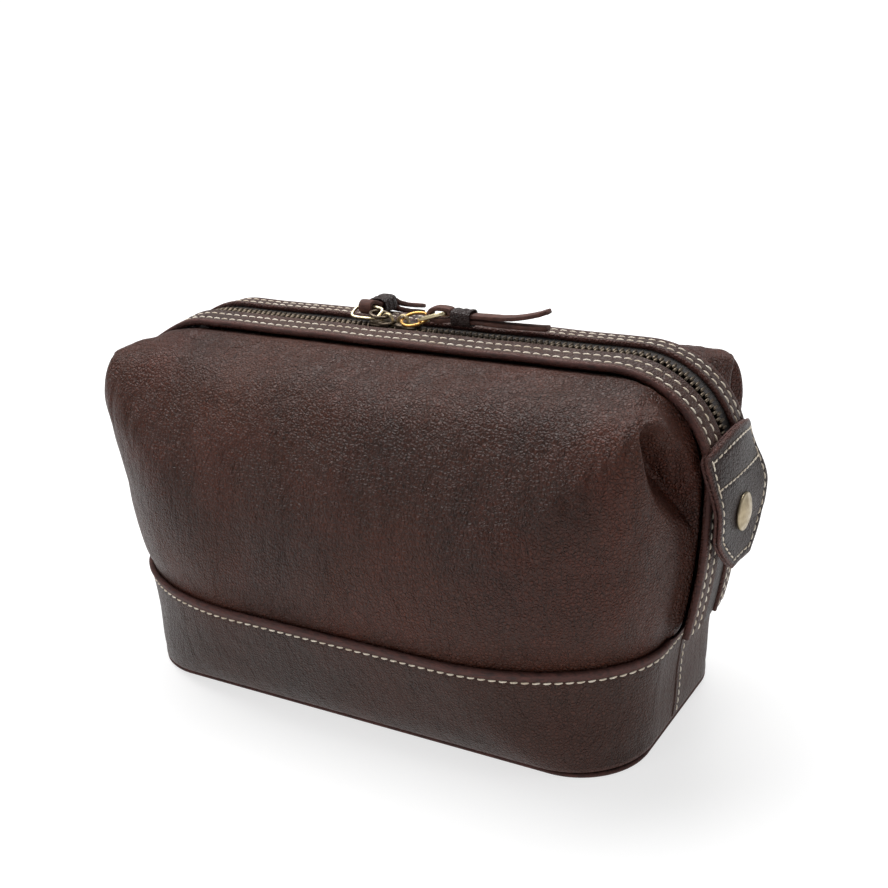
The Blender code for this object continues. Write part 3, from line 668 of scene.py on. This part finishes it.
def facing_profile(side):
    """Cross section of one leather facing: rounded outer lip, two sewn grooves, inner edge."""
    top = []
    for y in spread(FACING_IN, FACING_EDGE, FACING_STEPS):
        dip = sum(0.42 * math.exp(-((y - s) / 0.75) ** 2) for s in (STITCH_OUT, STITCH_IN))
        outer, inner = y - FACING_EDGE + 0.6, FACING_IN + 0.6 - y
        round_off = 0.4 * max(0.0, outer / 0.6) ** 2 + 0.4 * max(0.0, inner / 0.6) ** 2
        lip = 0.15 * math.exp(-((outer + 0.8) / 0.9) ** 2) + 0.25 * math.exp(-((y - 8.1) / 1.0) ** 2)
        top.append((side * y, facing_rise(y) - dip - round_off + lip))
    rim = [(side * (FACING_EDGE + 0.15), facing_rise(FACING_EDGE) - 0.8),
           (side * (FACING_EDGE + 0.1), facing_rise(FACING_EDGE) - 1.3)]
    bottom = [(side * y, facing_rise(y) - (2.4 if y > 18 else 1.8))
              for y in (20.2, 19.4, 17.6, 14.0, 10.0, 7.0)]
    # Below the top millimetre of the cut edge the lip takes the dark leather: painted shade under the lip.
    tints = [0] * (FACING_STEPS - 2) + [1] * 3 + [2] * 7
    outline = top + rim + bottom
    wear = [max(0.0, (abs(y) - 17.6) / 2.8, (7.6 - abs(y)) / 0.7) if k < FACING_STEPS else 0.8
            for k, (y, _) in enumerate(outline)]
    return outline, tints, wear


def wavy(frames, side, amount=0.28):
    """The same frames with the small waviness of sewn leather."""
    out = []
    for origin, across, normal in frames:
        q = Vector((origin.x * 0.045, 9.0 * side, origin.z * 0.045))
        push = noise.noise(q) * amount
        lift = noise.noise(q + Vector((31, 7, 2))) * amount
        out.append((origin + across * push + normal * lift, across, normal))
    return out


def make_facing(name, side):
    frames = wavy(band_frames(BAND_H + 0.6), side)
    profile, tints, wear = facing_profile(side)
    # The third material is painted shade on the lower cut edge, under the lip.
    ob = sweep(name + "_facing_leather", frames, profile, [BAND_LEATHER, RAW, DARK_LEATHER_AND_SHADE], tints, wear=wear)
    mouth(ob)
    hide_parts(name + "_facing")
    for row, y in (("outer", STITCH_OUT), ("inner", STITCH_IN)):
        path = [o + a * side * y + n * (facing_rise(y) - 0.32) for o, a, n in frames]
        st = stitch_row(f"{name}_{row}_stitches", path, [n for _, _, n in frames], seed=side * y)
        mouth(st)


def mouth(ob):
    """Bakes the piece's placement into its mesh."""
    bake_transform(ob)


def make_tape(name, side):
    frames = band_frames(BAND_H + 0.9, steps=40, turn=16, fall=12)
    profile = [(side * y, band_rise(8) - 1.95 + 0.5 * (y / 8.6 - 1)) for y in spread(1.9, 12.0, 8)]
    profile += [(y, b - 0.5) for y, b in reversed(profile)]
    ob = sweep(name + "_zip_tape", frames, profile, [TAPE])
    mouth(ob)
    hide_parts(name + "_tape")


TEETH_RISE = 0.9  # the middle of the teeth above the band's edge line
TEETH_PITCH = 2.6  # from tooth to tooth on one side
# One tooth: (distance from the middle, half width, half height), and its eight-sided section.
TOOTH_SLICES = [(3.0, 0.40, 0.6), (2.7, 0.52, 0.85), (0.6, 0.55, 0.9), (0.1, 0.52, 0.85),
                (-0.65, 0.4, 0.55)]
TOOTH_CORNERS = [(1, 0.45), (0.6, 1), (-0.6, 1), (-1, 0.45), (-1, -0.45), (-0.6, -1), (0.6, -1),
                 (1, -0.45)]


def make_teeth(name, side):
    """Separate metal teeth clamped on the tape's edge, each reaching just past the middle."""
    frames = band_frames(100.0, steps=90, turn=40, fall=12)
    points = np.array([list(o) for o, _, _ in frames])
    normals = np.array([list(n) for _, _, n in frames])
    length = running_length(points)
    at = equal_steps(length[-1], TEETH_PITCH) + (TEETH_PITCH / 2 if side > 0 else 0.0)
    verts, faces = [], []
    for s in at[at <= length[-1]]:
        spot, out = between(s, length, points), unit(between(s, length, normals))
        t = np.cross(np.array([0, 1.0, 0]), out)
        faces += lidded(len(TOOTH_SLICES), len(TOOTH_CORNERS), len(verts))
        for y, half_w, half_h in TOOTH_SLICES:
            for cw, ch in TOOTH_CORNERS:
                verts.append(spot + np.array([0, side * y, 0]) + t * (cw * half_w)
                             + out * (TEETH_RISE + ch * half_h))
    ob = fix_normals(build(name + "_zip_teeth", verts, faces, [DARK_BRASS]))
    mouth(ob)
    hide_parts(name + "_teeth")


def make_end_strip(name, side):
    """The leather strip between the facings, below and under the tab."""
    frames = [f for f in band_frames(BAND_H + 0.6) if f[0].x * side > 0 and f[0].z < 116.0]
    ys = spread(-9.4, 9.4, 18)
    top = [(y, band_rise(y) - 0.9) for y in ys]
    profile = top + [(y, b - 0.8) for y, b in reversed(top)]
    ob = sweep("end_strip_leather_" + name, frames, profile, [DARK_LEATHER_AND_SHADE, RAW], [0] * 17 + [1] + [0] * 17 + [1])
    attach(ob, "shell")
    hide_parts("end_strip_" + name)


# ---- base ----
def make_base():
    profile = [(2.6, 1.2), (3.4, 2.0)]
    profile += [(z, 2.1) for z in spread(5.0, 41.0, 14)]
    profile += [(42.4, 2.0), (43.1, 1.75), (43.8, 2.0), (44.8, 2.35)]
    profile += [(46.2 + 1.35 * math.sin(a), 1.35 + 1.35 * math.cos(a)) for a in spread(-0.6, math.pi, 9)]
    outer = len(profile)
    profile += [(44.0, 0.35), (30.0, 0.4), (14.0, 0.4), (3.0, 0.4)]
    tints = [0] * 18 + [1] * (outer - 18) + [0] * 4
    wear = [0.8 if z < 3.5 else 0.0 for z, _ in profile]
    verts = stacked(profile)
    n = len(verts) // len(profile)
    faces = grid_faces(len(profile), n, True, True)
    face_tints = [tints[i // n] for i in range(len(faces))]
    worn = [wear[i // n] for i in range(len(verts))]
    ob = build("base_band_leather", verts, faces, [BASE_LEATHER, RAW], face_tints, worn)
    fix_normals(ob)
    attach(ob, "shell")
    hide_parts("base_band")
    normals = [(nx, ny, 0) for _, _, nx, ny in loop(43.1, 1.85)]
    st = stitch_row("base_stitches", stacked([(43.1, 1.85)]), normals, closed=True)
    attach(st, "shell")
    rings = [(0.0, -40.0), (0.0, 0.4), (0.25, 1.2), (1.0, 1.75), (1.7, 1.5), (2.0, 0.9), (2.0, -40.0)]
    verts = stacked(rings, 1.0)
    tints = [0] * n * 2 + [1] * n * 3 + [0] * (n + 2)
    ob = build("bottom_leather", verts, lidded(len(rings), n), [DARK_LEATHER_AND_SHADE, RAW], tints)
    fix_normals(ob)
    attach(ob, "shell")
    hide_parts("bottom_panel")


def make_base_seam(name, side):
    """The base band's joint on the end: a narrow turned seam with its stitches."""
    y = -side * 6.0
    zs = spread(5.0, 40.5, 24)
    outs = [outline_sizes(z)[1] + 2.1 for z in zs]
    frames = [(Vector((side * x, y, z)), Y_AXIS, side * X_AXIS) for x, z in zip(outs, zs)]
    ob = sweep("base_seam_" + name, frames, rounded(1.5, 0.5, 2.4), [BASE_LEATHER])
    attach(ob, "shell")
    points = [(side * (x + 0.1), y + 3.0, z) for x, z in zip(outs, zs)]
    row = stitch_row("base_seam_stitches_" + name, points, [(side, 0, 0)] * len(zs), pitch=3.6,
                     length=2.7, radius=0.34)
    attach(row, "shell")


def make_lining_floor():
    rings = [(7.4, -6.4), (7.4, -4.0), (7.7, -3.5), (8.1, -3.7), (8.2, -6.4)]
    verts = stacked(rings, 8.0)
    faces = lidded(len(rings), len(verts) // len(rings))
    ob = fix_normals(build("lining_floor", verts, faces, [LINING]))
    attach(ob, "shell")
    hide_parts("lining")


# ---- sliders and pulls ----
def smooth_route(points, steps=6):
    """A Catmull-Rom curve through the points."""
    pts = [Vector(p) for p in points]
    pts = [2 * pts[0] - pts[1]] + pts + [2 * pts[-1] - pts[-2]]
    found = []
    for i in range(1, len(pts) - 2):
        p0, p1, p2, p3 = pts[i - 1:i + 3]
        for k in range(steps):
            t = k / steps
            found.append(0.5 * (2 * p1 + (p2 - p0) * t + (2 * p0 - 5 * p1 + 4 * p2 - p3) * t * t
                                + (3 * p1 - p0 - 3 * p2 + p3) * t**3))
    return found + [pts[-2]]


def rounded(half_a, half_b, power=4.0, count=20):
    """A rounded rectangle as a profile."""
    found = []
    for i in range(count):
        a = 2 * math.pi * i / count
        c, d = (math.copysign(abs(t) ** (2 / power), t) for t in (math.cos(a), math.sin(a)))
        found.append((half_a * c, half_b * d))
    return found


def ring_axes(side, tilt, roll):
    tilt, roll = math.radians(tilt), math.radians(roll)
    along = Vector((side * math.cos(tilt), 0.0, math.sin(tilt)))
    across = Vector((0.0, math.cos(roll), math.sin(roll)))
    return along, (across - along * across.dot(along)).normalized()


def make_ring(name, middle, along, across, size, power, half, mat):
    """A wire ring; half gives the wire's half thickness in the ring's plane and out of it."""
    out = along.cross(across)
    oval = rounded(size[0] / 2, size[1] / 2, power, 64)
    path = [middle + along * a + across * b for a, b in oval]
    frames = []
    for i, p in enumerate(path):
        tangent = (path[(i + 1) % len(path)] - path[i - 1]).normalized()
        frames.append((p, out.cross(tangent), out))
    return sweep(name, frames, rounded(*half, 2.6, 16), [mat], closed=True)


PLATE_L, PLATE_T = 5.6, 1.2  # half length and thickness of a slider's two plates
CROWN_R, CROWN_RISE = 2.6, 3.5  # the half hoop on top that holds the link
LINK_DROP = 1.35  # the link's wire is this far below the top of the hoop


def slider_plate(nose, half_w):
    """Outline of a slider's plate: full at the nose, narrower at the tail, corners rounded."""
    found = []
    for a, b in rounded(PLATE_L, 1.0, 3.2, 36):
        share = (nose * a / PLATE_L + 1) / 2
        found.append((a, b * half_w * (0.72 + 0.28 * ease(share, 0.1, 0.75))))
    return found


def make_slider(name, x):
    nose = 1 if name == "left" else -1
    low, high = HEIGHT + CROWN - 4.05, HEIGHT + CROWN - 0.55
    pieces = []
    for part, z0, half_w in (("top", high, 4.2), ("under", low - PLATE_T, 4.0)):
        z1 = z0 + PLATE_T
        outline = slider_plate(nose, half_w)
        rings = [(z0, -0.45), (z0 + 0.12, 0.0), (z1 - 0.45, 0.0), (z1 - 0.12, -0.3), (z1, -0.75)]
        verts = []
        for z, grow in rings:
            for a, b in outline:
                verts.append((x + a * (1 + grow / PLATE_L), b * (1 + grow / half_w), z))
        mats = [DARK_BRASS if part == "top" else BRASS]
        pieces.append(build(f"slider_{part}_{name}", verts, lidded(len(rings), len(outline)), mats))
    for edge in (-1, 1):
        route = [(x - 4.6, edge * 3.1, high - 0.15), (x, edge * 3.7, high - 0.2),
                 (x + 4.6, edge * 3.1, high - 0.15)]
        frames = [(p, Y_AXIS, Z_AXIS) for p in smooth_route(route)]
        pieces.append(sweep(f"slider_lip_{edge}_{name}", frames, rounded(0.35, 0.45), [DARK_BRASS]))
    post_x = x + nose * 4.2
    frames = [(Vector((post_x, 0, z)), X_AXIS, Y_AXIS) for z in spread(low - 0.4, high + 0.4, 5)]
    pieces.append(sweep("slider_post_" + name, frames, rounded(1.2, 0.24), [BRASS]))
    crown_x, foot = x + nose * CROWN_R, high + 0.7
    frames = []
    for a in spread(0.0, math.pi, 25):
        out = Vector((math.cos(a) / CROWN_R, 0, math.sin(a) / CROWN_RISE)).normalized()
        place = Vector((crown_x + CROWN_R * math.cos(a), 0, foot + CROWN_RISE * math.sin(a)))
        frames.append((place, Y_AXIS, out))
    pieces.append(sweep("slider_crown_" + name, frames, rounded(0.95, 0.42, 3.0), [BRASS]))
    for piece in pieces:
        fix_normals(piece)
        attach(piece, "slider_" + name)
    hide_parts("slider_" + name)
    return Vector((crown_x, 0.0, foot + CROWN_RISE - LINK_DROP))


def make_pull(name, crown):
    side = -1 if name == "left" else 1
    size = LINK_D[name]
    along, across = ring_axes(side, LINK_TILT[name], LINK_ROLL[name])
    link = make_ring("link_" + name, crown + along * (size / 2), along, across, (size, size), 2.0,
                     (0.66, 0.62), GOLD if name == "right" else DARK_BRASS)
    middle = Vector(OVAL_AT[name])
    along, across = ring_axes(side, OVAL_TILT[name], OVAL_ROLL[name])
    oval = make_ring("oval_" + name, middle, along, across, OVAL_SIZE[name], 3.6,
                     (0.6, 0.85 if name == "right" else 0.62), PALE)
    if name == "right":
        hold, away, wide = middle + along * (OVAL_SIZE[name][0] / 2), X_AXIS, Y_AXIS
    else:
        hold = middle + across * (OVAL_SIZE[name][1] / 2) + along * LACE_ASIDE
        away, wide = Y_AXIS, -X_AXIS
    route = smooth_route([hold + away * a + Z_AXIS * h for a, h in LACE_ROUTE[name]])
    frames = []
    for i, p in enumerate(route):
        tangent = (route[min(i + 1, len(route) - 1)] - route[max(i - 1, 0)]).normalized()
        fuzz = noise.noise(p * 0.5) * 0.12
        frames.append((p + Z_AXIS * fuzz, wide * (1 + fuzz * 0.4), tangent.cross(wide).normalized()))
    lace = sweep("lace_" + name, frames, rounded(LACE_W[name] / 2, LACE_T / 2, 4.5, 24), [LACE])
    collar = make_collar(name, hold, away, wide)
    for piece, body, node, slot in ((link, "link_", "link_ring_", "antique_brass"),
                                    (oval, "ring_", "oval_ring_", "antique_brass"),
                                    (lace, "pull_", "leather_pull_", "dark_leather"),
                                    (collar, "pull_", "pull_collar_", "dark_leather")):
        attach(piece, body + name)
        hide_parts(node + name)


def make_collar(name, hold, away, wide):
    """The leather band round both strands, a little fuller in its middle."""
    start, end, level = COLLAR[name]
    half_w, half_h = LACE_W[name] / 2 + 0.8, LACE_T + 1.0
    stations = [(start + 0.5, -0.35), (start + 0.15, 0.0), (start, 0.3), (start + 0.3, 0.5)]
    stations += [(a, 0.45 + 0.15 * math.sin(a * 1.9)) for a in spread(start + 1.2, end - 1.2, 9)]
    stations += [(end - 0.3, 0.5), (end, 0.3), (end - 0.15, 0.0), (end - 0.5, -0.35)]
    verts = []
    for a, grow in stations:
        for p, q in rounded(half_w + grow, half_h + grow, 3.4, 36):
            verts.append(tuple(hold + away * a + Z_AXIS * (level + q) + wide * p))
    faces = grid_faces(len(stations), 36, True, True)
    return fix_normals(build("collar_" + name, verts, faces, [DARK_LEATHER_AND_SHADE]))


# ---- end tabs ----
TAB_STITCH = 3.2  # the sewn line's distance from the shield's edge
TAB_CROSS = 110.0  # height of the stitched box's lower line
TAB_ARCH = 3.0  # how much its top edge bows
TAB_HALF_W = 24.0  # half its width at the shoulders
TAB_FACE = 3.4  # the shield's outer face above the band's leather


def tab_half_width(z):
    """The shield's half width: square shoulders, sides that taper to a blunt point."""
    t = max((TAB_TOP - z) / (TAB_TOP - TAB_TIP), 0.0)
    corner = 1.6 * max(0.0, 1 - (TAB_TOP - z) / 1.6) ** 2
    return TAB_HALF_W - 4.2 * t**1.6 - 11.5 * max((t - 0.66) / 0.34, 0.0) ** 1.45 - corner


def tab_rise(y, z):
    """How far the shield stands off the band's edge line: sewn down above, flat and free below."""
    free = ease(z, TAB_TOP - 3.0, SNAP_Z + 4.0)
    crown = band_rise(y) + (CROWN - 0.2 - band_rise(y)) * free
    lean = (0.10 * max(y, 0.0) + 0.04 * min(y, 0.0)) * free
    return crown + lean + 1.7 * free + 0.16 * max(SNAP_Z - 7.0 - z, 0.0)


def tab_point(side, y, z, lift):
    z += TAB_ARCH * (0.75 - (y / TAB_HALF_W) ** 2) * ease(z, TAB_CROSS - 6.0, TAB_TOP)
    turn_z = HEIGHT - CORNER_R
    a = math.acos(min(max((z - turn_z) / CORNER_R, 0.0), 1.0))
    out = (math.sin(a), math.cos(a)) if z > turn_z else (1.0, 0.0)
    rise = tab_rise(y, z) + lift
    return side * (end_x(z) + out[0] * rise), y, z + out[1] * rise


def side_slant(z):
    """How much longer the shield's side is than its height, at this height."""
    return math.hypot(1.0, (tab_half_width(z + 1.0) - tab_half_width(z - 1.0)) / 2)


def edge_distance(y, z):
    """Distance from a spot on the shield to its nearest edge."""
    return min((tab_half_width(z) - abs(y)) / side_slant(z), TAB_TOP - z, z - TAB_TIP)


def on_tab(ob):
    """Bakes the piece's placement into its mesh."""
    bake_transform(ob)


def tab_layer(label, name, side, lift_out, lift_in):
    zs, shares = spread(TAB_TIP, TAB_TOP, 76), spread(-1.0, 1.0, 72)
    grids = []
    for lift, sewn in ((lift_out, 1.0), (lift_in, 0.0)):
        rows = []
        for z in zs:
            row = []
            for k in shares:
                y = k * tab_half_width(z)
                d = edge_distance(y, z)
                dip = 0.4 * math.exp(-((d - TAB_STITCH) / 0.8) ** 2)
                dip = max(dip, 0.4 * math.exp(-((z - TAB_CROSS) / 0.8) ** 2) if d > 3.0 else 0.0)
                soft = 0.55 * math.exp(-(d / 0.55) ** 2) * (1 if sewn else -0.4)
                puff = 0.22 * noise.noise(Vector((y * 0.11, z * 0.11, side * 3.0)))
                row.append(tab_point(side, y, z, lift - sewn * dip - soft + puff))
            rows.append(row[::side])
        grids.append(rows)
    worn = [[max(0.0, 1 - edge_distance(k * tab_half_width(z), z) / 1.6) for k in shares][::side]
            for z in zs]
    ob = two_sided(f"tab_{label}_{name}", grids[0], grids[1], [DARK_LEATHER_AND_SHADE, RAW], wear=worn)
    fix_normals(ob)
    on_tab(ob)
    return ob


def make_tab(name, side):
    outer = tab_layer("outer", name, side, TAB_FACE, TAB_FACE - 1.4)
    tab_layer("inner", name, side, TAB_FACE - 1.55, TAB_FACE - 2.95)
    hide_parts("tab_anchor_" + name, "tab_flap_" + name, "tab_backing_" + name)

    def inset(z):
        return tab_half_width(z) - TAB_STITCH * side_slant(z)

    down = spread(TAB_TOP - TAB_STITCH, TAB_TIP + TAB_STITCH, 60)
    outline = [(y, down[0]) for y in spread(-inset(down[0]), inset(down[0]), 30)[:-1]]
    outline += [(inset(z), z) for z in down]
    outline += [(y, down[-1]) for y in spread(inset(down[-1]), -inset(down[-1]), 12)[1:-1]]
    outline += [(-inset(z), z) for z in reversed(down)]
    sew_tab("tab_stitches_", name, side, outline, True)
    across = [(y, TAB_CROSS) for y in spread(-inset(TAB_CROSS), inset(TAB_CROSS), 30)]
    sew_tab("tab_box_stitches_", name, side, across, False)
    knots = [(edge * inset(z), z) for z in (down[0], TAB_CROSS) for edge in (-1, 1)]
    for i, (y, z) in enumerate(knots):
        sew_tab(f"tab_knot_{i}_", name, side, [(y - 0.5, z + 1.6), (y + 0.3, z - 1.6)], False)
    make_snap_cap(name, side)


def sew_tab(label, name, side, outline, closed):
    points = [tab_point(side, y, z, TAB_FACE - 0.3) for y, z in outline]
    outs = []
    for y, z in outline:
        a, b = tab_point(side, y, z, 3.0), tab_point(side, y, z, 4.0)
        outs.append([q - p for p, q in zip(a, b)])
    stitches = stitch_row(label + name, points, outs, pitch=3.5, length=2.7, radius=0.36,
                          closed=closed, seed=side)
    on_tab(stitches)


def make_snap_cap(name, side):
    """A domed cap with a rolled rim."""
    base = end_x(SNAP_Z) + TAB_FACE + tab_rise(0.0, SNAP_Z)
    profile = [(0.0, -0.5), (7.0, -0.5), (7.3, 0.0), (7.42, 0.4), (7.3, 0.85), (6.95, 1.1), (6.6, 1.15),
               (6.2, 1.3), (5.2, 1.75), (4.0, 2.12), (2.6, 2.38), (1.3, 2.5), (0.0, 2.53)]
    verts, steps = [], 64
    for r, h in profile[1:-1]:
        for i in range(steps):
            a = 2 * math.pi * i / steps
            verts.append((side * (base + h), r * math.cos(a), SNAP_Z + r * math.sin(a)))
    rows = len(profile) - 2
    faces = grid_faces(rows, steps, True)
    verts += [(side * (base + profile[0][1]), 0, SNAP_Z), (side * (base + profile[-1][1]), 0, SNAP_Z)]
    for i in range(steps):
        faces.append((i, (i + 1) % steps, rows * steps))
        faces.append(((rows - 1) * steps + (i + 1) % steps, (rows - 1) * steps + i, rows * steps + 1))
    ob = fix_normals(build("snap_dome_" + name, verts, faces, [CAP]))
    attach(ob, "tab_" + name)
    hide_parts("snap_cap_" + name)


# ---- the pieces ----
make_base()
make_lining_floor()
for half, half_side in (("front", -1), ("back", 1)):
    leather_half(half, half_side)
    lining_half(half, half_side)
    make_facing(half, half_side)
    make_tape(half, half_side)
    make_teeth(half, half_side)
for end, end_side in (("left", -1), ("right", 1)):
    make_end_strip(end, end_side)
    make_tab(end, end_side)
    make_base_seam(end, end_side)
    make_pull(end, make_slider(end, SLIDER_X[end]))
    for node in ("snap_stud_", "snap_post_", "snap_socket_"):
        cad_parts[node + end].material_slots[0].material = DARK_BRASS
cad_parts["base_board"].material_slots[0].material = BOARD

# ---- camera, light and floor ----
camera = bpy.data.objects.new("camera", bpy.data.cameras.new("camera"))
camera.data.lens, camera.data.sensor_width = 54.02, 36.0
camera.matrix_world = Matrix(((0.8651, -0.1338, 0.4834, 0.2805), (0.4993, 0.3214, -0.8047, -0.4439),
                              (-0.0476, 0.9375, 0.3448, 0.2934), (0, 0, 0, 1)))
bpy.context.scene.collection.objects.link(camera)
bpy.context.scene.camera = camera

floor_mat = Shader("floor_white", Roughness=0.9, Specular_IOR_Level=0.1)
floor_mat.main.inputs["Base Color"].default_value = (0.4, 0.4, 0.4, 1)
floor_mat.main.inputs["Emission Color"].default_value = (1, 1, 1, 1)
place = floor_mat.add("ShaderNodeNewGeometry").outputs["Position"]
away = floor_mat.add("ShaderNodeVectorMath", {"operation": "LENGTH"}, Vector=place).outputs["Value"]
floor_mat.feed(floor_mat.main, "Emission Strength", floor_mat.span(away, 0.35, 1.5, 0.68, 1.0))
FLOOR_HALF = 20000.0
corners = [(x * FLOOR_HALF, y * FLOOR_HALF, 0) for x, y in ((-1, -1), (1, -1), (1, 1), (-1, 1))]
floor = build("floor", corners, [(0, 1, 2, 3)], [floor_mat.material], smooth=False)
floor.location.z = -0.0002


def area_light(name, place, target, size, power):
    """A rectangular lamp at a place, turned towards its target."""
    lamp = bpy.data.lights.new(name, "AREA")
    lamp.shape, lamp.size, lamp.size_y = "RECTANGLE", size[0], size[1]
    lamp.energy = power
    ob = bpy.data.objects.new(name, lamp)
    ob.location = place
    aim = Vector(target) - Vector(place)
    ob.rotation_euler = aim.to_track_quat("-Z", "Y").to_euler()
    bpy.context.scene.collection.objects.link(ob)


area_light("overhead", (-0.35, 0.3, 1.2), (0, 0, 0.12), (1.6, 0.8), 27.0)
area_light("front_soft", (-0.6, -1.4, 1.0), (0, 0, 0.08), (0.8, 0.6), 3.6)
area_light("right_soft", (1.3, 0.1, 0.6), (0.1, 0, 0.1), (0.5, 0.5), 1.4)
world = bpy.data.worlds.new("white")
world.use_nodes = True
world.node_tree.nodes["Background"].inputs["Color"].default_value = (1, 1, 1, 1)
world.node_tree.nodes["Background"].inputs["Strength"].default_value = 0.25
bpy.context.scene.world = world
bpy.context.scene.view_settings.view_transform = "Standard"
